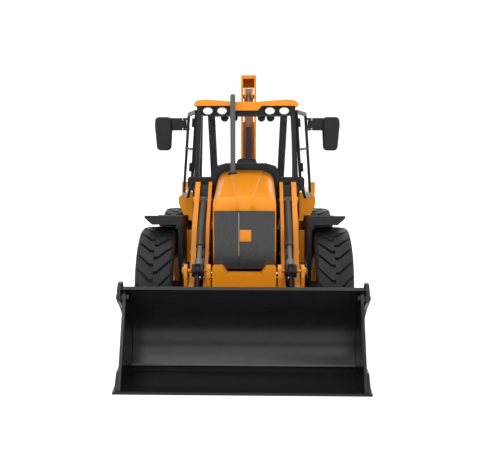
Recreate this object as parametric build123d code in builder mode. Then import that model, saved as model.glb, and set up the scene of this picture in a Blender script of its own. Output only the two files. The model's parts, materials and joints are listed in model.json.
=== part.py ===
"""Toy backhoe loader, about 1:14, in millimetres.

The machine faces -Y, its left side is +X, and it stands on z = 0. Side-view points are
written (rearward, up), measured from the front axle, and side() places them.
"""

import math
import os

from build123d import *

os.makedirs("parts", exist_ok=True)

# ---- driving dimensions ----
front_axle_y = -104.5
wheelbase = 157.0
wheel_radius = 50.0
tyre_inner_x = 57.0
tyre_outer_x = 87.0
tread_depth = 3.5
tread_pitch_count = 18
rim_radius = 27.0
hub_hole_radius = 4.0
running_clearance = 0.05
spindle_diameter = 2 * hub_hole_radius - 2 * running_clearance
axle_pin_diameter = 7.0
arm_pin_diameter = 5.0

sheet = 2.5
frame_half_width = 22.0
hood_half_width = 25.4
kingpin_x = 50.0

arm_inner = (30.0, 33.0)
arm_outer = (40.4, 44.8)
lever_inner = (26.6, 29.6)
lever_outer = (45.2, 47.8)
lug_inner = (33.4, 35.0)
lug_outer = (38.4, 40.0)
link_x = (35.3, 38.3)
ram_x = 36.8
ram_diameter = 6.4
rod_diameter = 3.8

bucket_half_width = 88.6
boom_half_width = 9.0
boom_wall = 2.4
dipper_half_width = 5.4
hoe_bucket_half_width = 21.0

# ---- pivots, as side-view points ----
arm_pivot = (44.0, 129.0)
bucket_pivot = (-60.0, 16.0)
lever_pivot = (-35.0, 46.0)
lever_top = (-39.0, 70.0)
bucket_link_pin = (-64.0, 40.0)
crowd_base = (30.0, 120.0)
lift_base = (46.0, 62.0)
lift_pin = (-2.0, 78.0)
clam_pivot = (-93.0, 60.5)
swing_axis_y = 256.0
boom_pivot = (272.0, 58.0)
boom_ram_base = (288.0, 44.0)
boom_ram_pin = (286.0, 124.0)
dipper_pivot = (282.0, 222.0)
dipper_ram_base = (265.0, 120.0)
dipper_ram_pin = (265.3, 226.0)
hoe_pivot = (303.0, 104.0)
hoe_lever_pivot = (305.0, 124.0)
hoe_lever_tip = (315.7, 115.0)
hoe_link_pin = (313.7, 95.0)
hoe_ram_base = (305.0, 196.0)

pin_diameter = 3.0
pin_hole = pin_diameter + 2 * running_clearance
open_eye_hole = pin_diameter + 2.8
crowd_eye_hole = pin_diameter + 3.6


# ---- helpers, used inside a BuildPart block ----
def side(x):
    """Side-view plane at x: its own x runs rearward and its own y runs up."""
    return Plane(origin=(x, front_axle_y, 0), x_dir=(0, 1, 0), z_dir=(1, 0, 0))


def prism(points, x_from, x_to, radius=0.0, mode=Mode.ADD):
    """Side-view outline carried from x_from to x_to, its corners rounded by radius."""
    with BuildSketch(side(x_from)) as outline:
        with BuildLine():
            Polyline(*points, close=True)
        make_face()
        if radius:
            fillet(outline.vertices(), radius)
    extrude(outline.sketch, amount=x_to - x_from, mode=mode)


def cross_pin(point, x_from, x_to, diameter, mode=Mode.ADD):
    """Round bar along X through a side-view point."""
    with BuildSketch(side(x_from)) as section:
        with Locations(point):
            Circle(diameter / 2)
    extrude(section.sketch, amount=x_to - x_from, mode=mode)


def bar(x, start, end, diameter, mode=Mode.ADD):
    """Round bar between two side-view points, at a constant x."""
    run = Vector(0, end[0] - start[0], end[1] - start[1])
    foot = Vector(x, front_axle_y + start[0], start[1])
    with BuildSketch(Plane(origin=foot, z_dir=run)) as section:
        Circle(diameter / 2)
    extrude(section.sketch, amount=run.length, mode=mode)


def block(x_span, y_span, z_span, mode=Mode.ADD):
    """Box from its limits in x, rearward and up."""
    middle = (
        (x_span[0] + x_span[1]) / 2,
        front_axle_y + (y_span[0] + y_span[1]) / 2,
        (z_span[0] + z_span[1]) / 2,
    )
    with Locations(middle):
        Box(
            abs(x_span[1] - x_span[0]),
            abs(y_span[1] - y_span[0]),
            abs(z_span[1] - z_span[0]),
            mode=mode,
        )


def slab(points, y_from, y_to, radius=0.0, mode=Mode.ADD):
    """Front-view outline, as (x, up) points, carried from y_from to y_to."""
    plane = Plane(origin=(0, front_axle_y + y_from, 0), x_dir=(1, 0, 0), z_dir=(0, -1, 0))
    with BuildSketch(plane) as outline:
        with BuildLine():
            Polyline(*points, close=True)
        make_face()
        if radius:
            fillet(outline.vertices(), radius)
    extrude(outline.sketch, amount=y_from - y_to, mode=mode)


def along(start, end, distance):
    """Side-view point at a distance from start towards end."""
    share = distance / math.dist(start, end)
    return (start[0] + share * (end[0] - start[0]), start[1] + share * (end[1] - start[1]))


def ram_barrel(x, base, aim, length, diameter):
    """Cylinder barrel: an eye round the base pin, and a bored tube aimed at the rod's pin."""
    bar(x, along(base, aim, 2.0), along(base, aim, length), diameter)
    cross_pin(base, x - diameter / 2 + 0.3, x + diameter / 2 - 0.3, diameter + 0.8)
    gland = along(base, aim, length - 3.0)
    bar(x, gland, along(base, aim, length), diameter + 0.4)
    bore = rod_diameter + 2 * running_clearance
    bar(x, along(base, aim, 7.0), along(base, aim, length + 1.0), bore, mode=Mode.SUBTRACT)
    cross_pin(base, x - diameter, x + diameter, pin_hole, mode=Mode.SUBTRACT)


def ram_rod(x, base, tip, inside, eye_half_width, eye_diameter, hole=open_eye_hole, fork_half_gap=0.0):
    """Cylinder rod: starts inside the barrel and ends in an eye with room round its pin."""
    bar(x, along(base, tip, inside), along(tip, base, 3.0), rod_diameter)
    cross_pin(tip, x - eye_half_width, x + eye_half_width, eye_diameter)
    if fork_half_gap:
        bar(x, tip, along(tip, base, eye_diameter / 2 + 6), 2 * eye_half_width + 0.3)
        clear_disc = eye_diameter + 1.4
        cross_pin(tip, x - fork_half_gap, x + fork_half_gap, clear_disc, mode=Mode.SUBTRACT)
    cross_pin(tip, x - 10, x + 10, hole, mode=Mode.SUBTRACT)


def finish(part, name):
    """Labels a finished sub-part and writes it."""
    part.label = name
    export_step(part, f"parts/{name}.step")


hands = {"left": 1, "right": -1}

# ---- chassis: spine, axle mounts, loader towers, cab mounts ----
rail_bottom = 40.0
rail_top = 66.0
nose_rear = -31.0
rear_frame_front = 214.0
rear_axle_point = (wheelbase, wheel_radius)
with BuildPart() as chassis:
    block((-frame_half_width, frame_half_width), (nose_rear, rear_frame_front), (rail_bottom, rail_top))
    block((-30, 30), (-13, 13), (30, 60), mode=Mode.SUBTRACT)
    block((-30, 30), (14.5, 24), (49, 60), mode=Mode.SUBTRACT)
    bar(0, (-20, wheel_radius), (20, wheel_radius), axle_pin_diameter)
    block((-18, 18), (-16, 52), (rail_top - 1, rail_top + 20))
    block((-20, 20), (52, 210), (rail_top - 1, 94))
    for hand in (-1, 1):
        block((hand * 20, hand * 40), (38, 54), (rail_bottom + 14, 72))
        prism(
            [(37, 60), (54, 60), (53, 124), (48.4, 132), (41, 133.4), (36.4, 124)],
            hand * lug_inner[0],
            hand * lug_outer[1],
            radius=2.0,
        )
        block((hand * (ram_x - 3.6), hand * (ram_x + 3.6)), (34, 50), (50, 80), mode=Mode.SUBTRACT)
        cross_pin(lift_base, hand * 30, hand * 41, pin_diameter)
        cross_pin(arm_pivot, hand * 29.6, hand * 45.2, arm_pin_diameter)
        cross_pin(rear_axle_point, hand * 20, hand * 56, 16.0)
        cross_pin(rear_axle_point, hand * 56, hand * 80, spindle_diameter)
finish(chassis.part, "chassis")

# ---- nose: cast front counterweight with a stepped recess on top ----
nose_front = -43.0
with BuildPart() as nose_frame:
    slab([(-25.4, 26), (25.4, 26), (25.4, 73.6), (-25.4, 73.6)], nose_front, nose_rear, 1.2)
    slab(
        [(-22, 80), (-13.4, 68), (13.4, 68), (22, 80)],
        nose_front - 1,
        nose_front + 13,
        mode=Mode.SUBTRACT,
    )
    block((-25.4, 25.4), (nose_rear - 1, -16), (26, 39))
finish(nose_frame.part, "nose_frame")

# ---- radiator grille: smooth black panel with one upright crease ----
grille_front = -30.0
grille_top = 117.0
grille_bottom = 70.0
grille_outline = [
    (-24.4, grille_bottom),
    (24.4, grille_bottom),
    (24.4, grille_top),
    (-24.4, grille_top),
]
with BuildPart() as grille:
    slab(grille_outline, grille_front, grille_front + 4, 1.5)
    block((-4.8, -4.2), (grille_front - 0.4, grille_front + 1), (grille_bottom + 3, grille_top - 1))
    block((-22, 22), (grille_front + 3, grille_front + 9), (grille_bottom, grille_bottom + 6))
finish(grille.part, "grille")

badge_centre = (0.8, 97.0)
badge_size = 9.4
with BuildPart() as badge_plate:
    with BuildSketch(
        Plane(
            origin=(badge_centre[0], front_axle_y + grille_front, badge_centre[1]),
            x_dir=(1, 0, 0),
            z_dir=(0, -1, 0),
        )
    ):
        RectangleRounded(badge_size, badge_size, 1.0)
    extrude(amount=1.4)
    chamfer(badge_plate.faces().sort_by(Axis.Y)[0].edges(), 0.4)
finish(badge_plate.part, "badge_plate")

# ---- hood: one shell with a faceted nose and a raised centre rib ----
hood_rear = 50.0
hood_profile = [
    (-29.6, 74.0),
    (-29.6, 118.6),
    (-23.0, 128.0),
    (hood_rear, 144.0),
    (hood_rear, 74.0),
]
rib_profile = [(-26.0, 121.0), (-22.4, 129.6), (hood_rear, 146.6), (hood_rear, 138.0), (-22, 118.0)]
with BuildPart() as hood:
    prism(hood_profile, -hood_half_width, hood_half_width)
    upper = hood.edges().filter_by(lambda edge: edge.center().Z > 116)
    chamfer(upper.filter_by(lambda edge: abs(edge.center().X) > 20), 3.0)
    prism(rib_profile, -13.0, 13.0)
    prism(
        [(-28, 70), (-28, 114), (-22, 124), (hood_rear + 1, 139), (hood_rear + 1, 70)],
        -hood_half_width + sheet,
        hood_half_width - sheet,
        mode=Mode.SUBTRACT,
    )
    block((-24.5, 24.5), (-31, -20), (69, 117.1), mode=Mode.SUBTRACT)
    for hand in (-1, 1):
        for vent in range(6):
            vent_y = -14 + 8.0 * vent
            block((hand * 20, hand * 30), (vent_y, vent_y + 3.2), (98, 116), mode=Mode.SUBTRACT)
    with Locations((-11.35, front_axle_y + 38, 143)):
        Cylinder(3.2, 30, mode=Mode.SUBTRACT)
finish(hood.part, "hood")

# ---- exhaust stack ----
exhaust_x = -11.35
exhaust_y = 38.0
exhaust_top = 212.3
exhaust_radius = 2.3
with BuildPart() as exhaust:
    with BuildSketch(Plane.XY.offset(86)):
        with Locations((exhaust_x, front_axle_y + exhaust_y)):
            Circle(exhaust_radius)
    extrude(amount=exhaust_top - 86)
    with BuildSketch(Plane.XY.offset(86)):
        with Locations((exhaust_x, front_axle_y + exhaust_y)):
            Circle(4.6)
    extrude(amount=4)
    fillet(exhaust.faces().sort_by(Axis.Z)[-1].edges(), 2.0)
finish(exhaust.part, "exhaust")

# ---- cab floor with seat pedestal and consoles ----
floor_top = 108.0
column_foot = (64.0, 130.6)
column_top = (72.0, 144.0)
with BuildPart() as cab_floor:
    block((-48, 48), (56.6, 174), (floor_top - 6, floor_top))
    block((-30, 30), (56.6, 174), (94, floor_top - 5))
    block((-14, 14), (92, 124), (floor_top - 1, 124))
    for hand in (-1, 1):
        block((hand * 20, hand * 30), (84, 118), (floor_top - 1, 132))
    block((-9, 9), (58, 66), (floor_top - 1, 127.4))
    bar(0, along(column_foot, column_top, -8.0), along(column_foot, column_top, -0.1), 6.0)
finish(cab_floor.part, "cab_floor")

# ---- seat ----
with BuildPart() as seat:
    block((-12, 12), (88, 116), (124, 131))
    prism([(110, 130), (118, 130), (112, 154), (105, 154.7)], -10.5, 10.5, 1.5)
    vertical = seat.edges().filter_by(Axis.Z).filter_by(lambda edge: edge.center().Y < front_axle_y + 100)
    fillet(vertical, 3.0)
finish(seat.part, "seat")

# ---- steering wheel on its column stub ----
wheel_axis = Vector(0, column_top[0] - column_foot[0], column_top[1] - column_foot[1])
with BuildPart() as steering_wheel:
    bar(0, column_foot, column_top, 4.0)
    hub_plane = Plane(
        origin=(0, front_axle_y + column_top[0], column_top[1]), x_dir=(1, 0, 0), z_dir=wheel_axis
    )
    with BuildSketch(hub_plane):
        Circle(12.0)
        Circle(9.6, mode=Mode.SUBTRACT)
        Circle(3.4)
        for turn in (90, 210, 330):
            with Locations(Rotation(0, 0, turn)):
                with Locations((6.6, 0)):
                    Rectangle(8.0, 2.2)
    extrude(amount=2.2)
finish(steering_wheel.part, "steering_wheel")

# ---- cab frame: cowl arch, pillars, sills, lamp panel ----
roof_seat = 202.4
lamp_panel_bottom = 193.7
rear_header_bottom = 195.6
cowl_outer = [
    (-32, 132),
    (-32, 140),
    (-27, 149),
    (-18, 151.6),
    (18, 151.6),
    (27, 149),
    (32, 140),
    (32, 132),
]
cowl_inner = [
    (-26.2, 94),
    (-26.2, 140),
    (-23, 144.6),
    (-16, 147),
    (16, 147),
    (23, 144.6),
    (26.2, 140),
    (26.2, 94),
]


cowl_shoulder = [(48, 126), (51.8, 127), (53.2, 130.6), (53.2, 137.4), (51.6, 139), (48, 139)]


def pillar(foot, head, half_x, half_y):
    """Square post lofted from a foot to a head, both (x, rearward, up)."""
    for end in (foot, head):
        with BuildSketch(Plane.XY.offset(end[2])) as post_end:
            with Locations((end[0], front_axle_y + end[1])):
                Rectangle(2 * half_x, 2 * half_y)
        yield post_end.sketch.faces()[0]


with BuildPart() as cab_frame:
    slab(cowl_outer, 50.4, 54.2, 1.0)
    slab([(-48.8, 133), (48.8, 133), (48.8, 139), (-48.8, 139)], 51.2, 56.5)
    slab([(-48.8, 101), (48.8, 101), (48.8, 134), (-48.8, 134)], 54, 56.5)
    for hand in (-1, 1):
        slab([(hand * x, z) for x, z in cowl_shoulder], 54, 56.5)
    slab(cowl_inner, 49, 54.2, mode=Mode.SUBTRACT)
    slab([(-24, 110), (24, 110), (24, 140), (-24, 140)], 50, 57.5, mode=Mode.SUBTRACT)
    for hand in (-1, 1):
        loft(list(pillar((hand * 45.3, 56, 137), (hand * 41.5, 55, roof_seat), 2.1, 3.2)))
        loft(list(pillar((hand * 47.2, 120, floor_top + 0.1), (hand * 45.2, 120, roof_seat), 1.6, 3.4)))
        loft(list(pillar((hand * 34.0, 168, floor_top + 0.1), (hand * 38.3, 166, roof_seat), 3.7, 3.6)))
        block((hand * 44, hand * 48.4), (55, 123.6), (floor_top + 0.1, 113))
        block((hand * 33.6, hand * 40.8), (120, 171.6), (floor_top + 0.1, 113))
        block((hand * 37, hand * 48.4), (116.4, 123.6), (floor_top + 0.1, 113))
        block((hand * 37, hand * 42.8), (54, 168), (roof_seat - 4, roof_seat))
    block((-41, 41), (163, 169), (floor_top + 0.1, 116))
    block((-44, 44), (52, 58), (lamp_panel_bottom, roof_seat))
    block((-40, 40), (163, 169), (rear_header_bottom, roof_seat))
finish(cab_frame.part, "cab_frame")

# ---- glazing: windscreen, rear window, quarter panes ----
with BuildPart() as cab_glass:
    slab([(-42.8, 139.2), (42.8, 139.2), (39.6, 193.6), (-39.6, 193.6)], 54.4, 55.6)
    slab([(-30.4, 116.2), (30.4, 116.2), (33.9, 195.4), (-33.9, 195.4)], 165.4, 166.6)
    for hand in (-1, 1):
        with BuildSketch(Plane.XY.offset(113.2)) as pane_plan:
            with BuildLine():
                Polyline(
                    (hand * 42.0, front_axle_y + 124.2),
                    (hand * 38.0, front_axle_y + 162.0),
                    (hand * 39.0, front_axle_y + 162.0),
                    (hand * 43.0, front_axle_y + 124.2),
                    close=True,
                )
            make_face()
        extrude(pane_plan.sketch, amount=roof_seat - 4.2 - 113.2)
finish(cab_glass.part, "cab_glass")

# ---- roof: cap with a raised pad down each side and a dropped centre fascia ----
roof_length = 130.0
roof_front = 46.0
roof_outline = [
    (-47, roof_seat),
    (-47, 204.6),
    (-43.5, 207.2),
    (-36, 207.9),
    (-22, 207.0),
    (-10, 205.9),
    (10, 205.9),
    (22, 207.0),
    (36, 207.9),
    (43.5, 207.2),
    (47, 204.6),
    (47, roof_seat),
]
with BuildPart() as roof:
    slab(roof_outline, roof_front, roof_front + roof_length)
    slab([(-15, roof_seat + 1), (-10.5, 198.3), (10.5, 198.3), (15, roof_seat + 1)], roof_front, 51.6)
    with BuildSketch(Plane.XY.offset(190)):
        with Locations((0, front_axle_y + roof_front + roof_length / 2)):
            RectangleRounded(94, roof_length, 9)
    extrude(amount=30, mode=Mode.INTERSECT)
finish(roof.part, "roof")


def work_lamps(stations, lamp_z, lamp_face, toward, reach):
    """Oval lamps of half-size reach with a bezel lip, facing toward (-1 front, 1 rear)."""
    for lamp_x in stations:
        plane = Plane(
            origin=(lamp_x, front_axle_y + lamp_face, lamp_z), x_dir=(1, 0, 0), z_dir=(0, toward, 0)
        )
        with BuildSketch(plane) as lamp:
            Ellipse(*reach)
        extrude(lamp.sketch, amount=3.6)
        with BuildSketch(plane.offset(3.0)) as dish:
            Ellipse(reach[0] - 0.7, reach[1] - 0.7)
        extrude(dish.sketch, amount=1.0, mode=Mode.SUBTRACT)


with BuildPart() as work_lamp_set:
    work_lamps((-34.0, -21.3, 21.3, 34.0), 198.0, 52.0, -1, (5.2, 4.0))
    work_lamps((-24.3, -14.6, 14.6, 24.3), 194.6, 169.0, 1, (4.2, 4.2))
finish(work_lamp_set.part, "work_lamps")

# ---- rear fenders ----
fender_front = 123.0
fender_rear = 214.0
fender_face = [(50.6, 119.5), (63.3, 119.5), (69.1, 114.2), (69, 108.2), (62, 91), (52, 90.5)]
fender_top = [
    (49, 119.5),
    (63.3, 119.5),
    (69.1, 114.2),
    (69.1, 108),
    (67.6, 104),
    (66.8, 104),
    (66.8, 113.2),
    (62.4, 117.2),
    (54.6, 117.2),
    (54.6, 90.5),
    (52, 90.5),
    (52, 117.2),
    (49, 117.2),
]
with BuildPart() as rear_fenders:
    for hand in (-1, 1):
        slab([(hand * x, z) for x, z in fender_face], fender_front, fender_front + 2.4)
        slab([(hand * x, z) for x, z in fender_top], fender_front, fender_rear)
        block((hand * 20, hand * 53), (178, 186), (84, 93))
finish(rear_fenders.part, "rear_fenders")

# ---- side boxes and steps ----
with BuildPart() as side_boxes:
    for hand in (-1, 1):
        block((hand * frame_half_width, hand * 60), (62, 100), (58, 90))
        block((hand * 36, hand * 61), (57, 64), (60, 74), mode=Mode.SUBTRACT)
        block((hand * 48, hand * 61), (60, 102), (76, 92), mode=Mode.SUBTRACT)
finish(side_boxes.part, "side_boxes")

# ---- rear frame: cross beam, slide rails, stabiliser housings ----
leg_x = (70.6, 78.4)
leg_y = (246.0, 256.0)
housing_wall = 1.3
with BuildPart() as rear_frame:
    block((-72, 72), (214, 236), (44, 58))
    block((-72, 72), (226, 236), (56, 84))
    for hand in (-1, 1):
        block((hand * 62, hand * leg_x[1]), (226, 246.5), (44, 84))
        block((hand * leg_x[0], hand * leg_x[1]), leg_y, (40, 121.5))
    for lug_z in (42, 74):
        block((-8.4, 8.4), (235, swing_axis_y), (lug_z, lug_z + 6))
        with Locations((0, front_axle_y + swing_axis_y, lug_z + 3)):
            Cylinder(9, 6)
    with Locations((0, front_axle_y + swing_axis_y, 61)):
        Cylinder(4.0, 40)
    for hand in (-1, 1):
        block(
            (hand * (leg_x[0] + housing_wall), hand * (leg_x[1] - housing_wall)),
            (leg_y[0] + housing_wall, leg_y[1] - housing_wall),
            (30, 118),
            mode=Mode.SUBTRACT,
        )
finish(rear_frame.part, "rear_frame")

# ---- stabiliser legs ----
for name, hand in hands.items():
    with BuildPart() as leg:
        gap = housing_wall + 0.3
        block(
            (hand * (leg_x[0] + gap), hand * (leg_x[1] - gap)),
            (leg_y[0] + gap, leg_y[1] - gap),
            (24, 112),
        )
        block((hand * 64, hand * 84), (240, 262), (20, 25))
    finish(leg.part, f"stabiliser_{name}")

# ---- front axle, knuckles, tie rod ----
with BuildPart() as front_axle:
    block((-44, 44), (-6, 6), (44.5, 55.5))
    for hand in (-1, 1):
        for fork_z in ((40, 44), (56, 60)):
            block((hand * 40, hand * 52.2), (-6, 6), fork_z)
        block((hand * 40, hand * 44), (-6, 6), (40, 60))
        with Locations((hand * kingpin_x, front_axle_y, 50)):
            Cylinder(2.0, 20)
    bar(0, (-9.6, 50), (9.6, 50), 14.0)
    bar(0, (-12, 50), (12, 50), 7.0 + 2 * running_clearance, mode=Mode.SUBTRACT)
finish(front_axle.part, "front_axle")

tie_rod_y = 19.0
tie_rod_x = 46.0
fender_stations = ((-24.0, 0.0), (44.0, 7.6))
fender_section = [
    (52.0, 112.2),
    (81.2, 112.2),
    (81.2, 110.4),
    (75.2, 104.8),
    (73.2, 104.8),
    (77.6, 110.0),
    (55.6, 110.0),
    (55.6, 103.0),
    (52.0, 103.0),
]
fender_lip = [(52.0, 112.2), (81.2, 112.2), (81.2, 110.4), (75.2, 104.8), (52.0, 104.8)]
for name, hand in hands.items():
    with BuildPart() as knuckle:
        with Locations((hand * kingpin_x, front_axle_y, 50)):
            Cylinder(5.0, 11.6)
        cross_pin((0, 50), hand * kingpin_x, hand * 80, 2 * hub_hole_radius - 0.1)
        block((hand * 45.4, hand * 49), (3, 22), (47.6, 52.4))
        with Locations((hand * kingpin_x, front_axle_y, 50)):
            Cylinder(2.0 + running_clearance, 14, mode=Mode.SUBTRACT)
        with Locations((hand * tie_rod_x, front_axle_y + tie_rod_y, 50)):
            Cylinder(1.2, 10)
        block((hand * 53, hand * 55.6), (-5, 5), (46, 66))
    finish(knuckle.part, f"knuckle_{name}")
    with BuildPart() as front_fender:
        block((hand * 52.0, hand * 55.6), (-10, 30), (66, 104))
        sections = []
        for section_y, drop in fender_stations:
            plane = Plane(origin=(0, front_axle_y + section_y, 0), x_dir=(1, 0, 0), z_dir=(0, -1, 0))
            with BuildSketch(plane) as section:
                with BuildLine():
                    Polyline(*[(hand * x, z - drop) for x, z in fender_section], close=True)
                make_face()
            sections.append(section.sketch.faces()[0])
        loft(sections)
        slab([(hand * x, z) for x, z in fender_lip], fender_stations[0][0], fender_stations[0][0] + 2)
        prism([(42.4, 105.4), (44.6, 104.6), (51, 95), (49.4, 94)], hand * 52.0, hand * 79)
    finish(front_fender.part, f"front_fender_{name}")

with BuildPart() as tie_rod:
    for hand in (-1, 1):
        with Locations((hand * tie_rod_x, front_axle_y + tie_rod_y, 55)):
            Cylinder(3.2, 3)
    with Locations((0, front_axle_y + tie_rod_y, 55)):
        Box(2 * tie_rod_x, 3.4, 2.6)
    for hand in (-1, 1):
        with Locations((hand * tie_rod_x, front_axle_y + tie_rod_y, 55)):
            Cylinder(2.2, 8, mode=Mode.SUBTRACT)
finish(tie_rod.part, "tie_rod")

# ---- wheels: tyre with slanted tread grooves, rim with a dished face ----
tyre_width = tyre_outer_x - tyre_inner_x
groove_width = 3.4
groove_slant = 32.0
with BuildPart() as tyre_blank:
    with BuildSketch(Plane.XZ):
        with BuildLine():
            Polyline(
                (rim_radius, 2),
                (rim_radius, tyre_width - 2),
                (31, tyre_width),
                (42, tyre_width),
                (46.5, tyre_width - 1.2),
                (wheel_radius, tyre_width - 4.6),
                (wheel_radius, 4.6),
                (46.5, 1.2),
                (42, 0),
                (31, 0),
                close=True,
            )
        make_face()
    revolve(axis=Axis.Z)
    for row, slant in ((0.27, groove_slant), (0.73, -groove_slant)):
        turn_offset = 0 if row < 0.5 else 180 / tread_pitch_count
        with Locations((0, 0, row * tyre_width)):
            with PolarLocations(wheel_radius, tread_pitch_count, start_angle=turn_offset):
                with Locations(Rotation(slant, 0, 0)):
                    Box(2 * tread_depth, groove_width, 0.6 * tyre_width, mode=Mode.SUBTRACT)

with BuildPart() as rim_blank:
    with BuildSketch(Plane.XZ):
        with BuildLine():
            Polyline(
                (hub_hole_radius, 4),
                (hub_hole_radius, 26),
                (9, 26),
                (11, 22),
                (20, 19),
                (23.4, 26.6),
                (25, 28.6),
                (rim_radius, 28.6),
                (rim_radius, 1.6),
                (24, 1.6),
                (22, 10),
                (9, 12),
                (9, 4),
                close=True,
            )
        make_face()
    revolve(axis=Axis.Z)
    with PolarLocations(15.5, 5):
        Cylinder(1.6, 60, mode=Mode.SUBTRACT)

axles = {"front": 0.0, "rear": wheelbase}
for end_name, end_y in axles.items():
    for name, hand in hands.items():
        wheel_plane = Plane(
            origin=(hand * tyre_inner_x, front_axle_y + end_y, wheel_radius),
            x_dir=(0, 1, 0),
            z_dir=(hand, 0, 0),
        )
        for piece_name, blank in (("tyre", tyre_blank), ("rim", rim_blank)):
            with BuildPart() as wheel_piece:
                add(wheel_plane.location * blank.part)
            finish(wheel_piece.part, f"{piece_name}_{end_name}_{name}")

# ---- loader arms: two channel arms joined by a cross tube ----
arm_outline = [
    (36, 131),
    (42, 135.4),
    (48, 133.4),
    (48.4, 126),
    (45, 121),
    (16, 88),
    (-2, 71.4),
    (-20, 41),
    (-44, 12),
    (-60, 8.5),
    (-66, 13),
    (-66, 22),
    (-54, 48),
    (-44, 56),
    (-28, 62),
    (-14, 76),
    (0, 100),
]
cross_tube = (-51.0, 36.0)
with BuildPart() as loader_arms:
    for hand in (-1, 1):
        for span in (arm_inner, arm_outer):
            prism(arm_outline, hand * span[0], hand * span[1], 1.6)
        prism(
            [(33, 107.6), (16, 88.4), (12, 84.2), (11, 87), (14, 91), (31, 109.6)],
            hand * arm_inner[0],
            hand * arm_outer[1],
        )
        prism(
            [(-23.6, 38), (-40.6, 18.4), (-42.4, 20.2), (-25.4, 39.6)],
            hand * arm_inner[0],
            hand * arm_outer[1],
        )
    cross_pin(cross_tube, -31, 31, 7.0)
    for hand in (-1, 1):
        cross_pin(arm_pivot, hand * 20, hand * 60, 5.0 + 2 * running_clearance, mode=Mode.SUBTRACT)
        cross_pin(lever_pivot, hand * 20, hand * 60, pin_hole, mode=Mode.SUBTRACT)
        for fixed_pin in (bucket_pivot, crowd_base, lift_pin):
            cross_pin(fixed_pin, hand * (arm_inner[0] - 0.8), hand * (arm_outer[1] + 1.0), pin_diameter)
            cross_pin(fixed_pin, hand * arm_outer[1], hand * (arm_outer[1] + 1.4), 6.0)
finish(loader_arms.part, "loader_arms")

# ---- loader levers, crowd rams, links ----
lever_outline = [
    (-39.5, 43),
    (-36, 40.6),
    (-31, 43),
    (-31, 50),
    (-34, 66),
    (-35, 73),
    (-39, 75.4),
    (-43, 73),
    (-44, 66),
]
crowd_inside = 20.0
for name, hand in hands.items():
    with BuildPart() as lever:
        for span in (lever_inner, lever_outer):
            prism(lever_outline, hand * span[0], hand * span[1], 1.6)
        for pin_point in (lever_pivot, lever_top):
            cross_pin(pin_point, hand * lever_inner[0], hand * (lever_outer[1] + 0.8), pin_diameter)
            cross_pin(pin_point, hand * lever_outer[1], hand * (lever_outer[1] + 1.2), 6.4)
    finish(lever.part, f"loader_lever_{name}")

with BuildPart() as crowd_barrels:
    for hand in (-1, 1):
        ram_barrel(hand * ram_x, crowd_base, lever_top, 58.0, ram_diameter)
finish(crowd_barrels.part, "crowd_barrels")

with BuildPart() as crowd_rods:
    for hand in (-1, 1):
        ram_rod(hand * ram_x, crowd_base, lever_top, crowd_inside, 3.2, 9.8, crowd_eye_hole, 1.9)
finish(crowd_rods.part, "crowd_rods")

with BuildPart() as loader_links:
    for hand in (-1, 1):
        bar((link_x[0] + link_x[1]) / 2 * hand, lever_top, bucket_link_pin, 2.6)
        for link_end in (lever_top, bucket_link_pin):
            cross_pin(link_end, hand * link_x[0], hand * link_x[1], 7.0)
            cross_pin(link_end, hand * 20, hand * 60, pin_hole, mode=Mode.SUBTRACT)
finish(loader_links.part, "loader_links")

# ---- lift rams ----
with BuildPart() as lift_barrels:
    for hand in (-1, 1):
        ram_barrel(hand * ram_x, lift_base, lift_pin, 44.0, ram_diameter)
finish(lift_barrels.part, "lift_barrels")

with BuildPart() as lift_rods:
    for hand in (-1, 1):
        ram_rod(hand * ram_x, lift_base, lift_pin, 9.0, 3.2, 8.6)
finish(lift_rods.part, "lift_rods")

# ---- loader bucket: back half with ears, and the hinged clam front ----
blade_front = [(-92.0, 66.0), (-80.6, 52.6), (-72.8, 38.0), (-71.0, 26.0), (-73.6, 13.0), (-78.6, 4.4)]
blade_rear = [(-76.4, 2.8), (-71.2, 12.2), (-68.4, 26.0), (-70.2, 38.8), (-78.4, 54.2), (-89.6, 67.8)]
ear_outline = [
    (-86, 71),
    (-91.4, 71),
    (-96.6, 66),
    (-96.6, 58),
    (-86, 51),
    (-70.4, 36.4),
    (-68, 40),
    (-71.6, 49),
    (-84, 68),
]
lug_outline = [
    (-71, 47),
    (-63, 44.4),
    (-60, 40),
    (-54.8, 18),
    (-57, 11),
    (-63, 10.6),
    (-71.6, 8.4),
    (-69.6, 24),
]
with BuildPart() as bucket:
    with BuildSketch(side(-bucket_half_width)) as blade:
        with BuildLine():
            front_curve = Spline(*blade_front)
            rear_curve = Spline(*blade_rear)
            Line(front_curve @ 1, rear_curve @ 0)
            Line(rear_curve @ 1, front_curve @ 0)
        make_face()
    extrude(blade.sketch, amount=2 * bucket_half_width)
    for hand in (-1, 1):
        prism(ear_outline, hand * (bucket_half_width - 0.4), hand * (bucket_half_width + 2.2))
        cross_pin(clam_pivot, hand * 82.6, hand * (bucket_half_width + 3.2), 4.0)
        for span in (lug_inner, lug_outer):
            prism(lug_outline, hand * span[0], hand * span[1])
        cross_pin(bucket_link_pin, hand * lug_inner[0], hand * lug_outer[1], pin_diameter)
        for span in (lug_inner, lug_outer):
            cross_pin(bucket_pivot, hand * (span[0] - 1), hand * (span[1] + 1), pin_hole, mode=Mode.SUBTRACT)
finish(bucket.part, "bucket")

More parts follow.
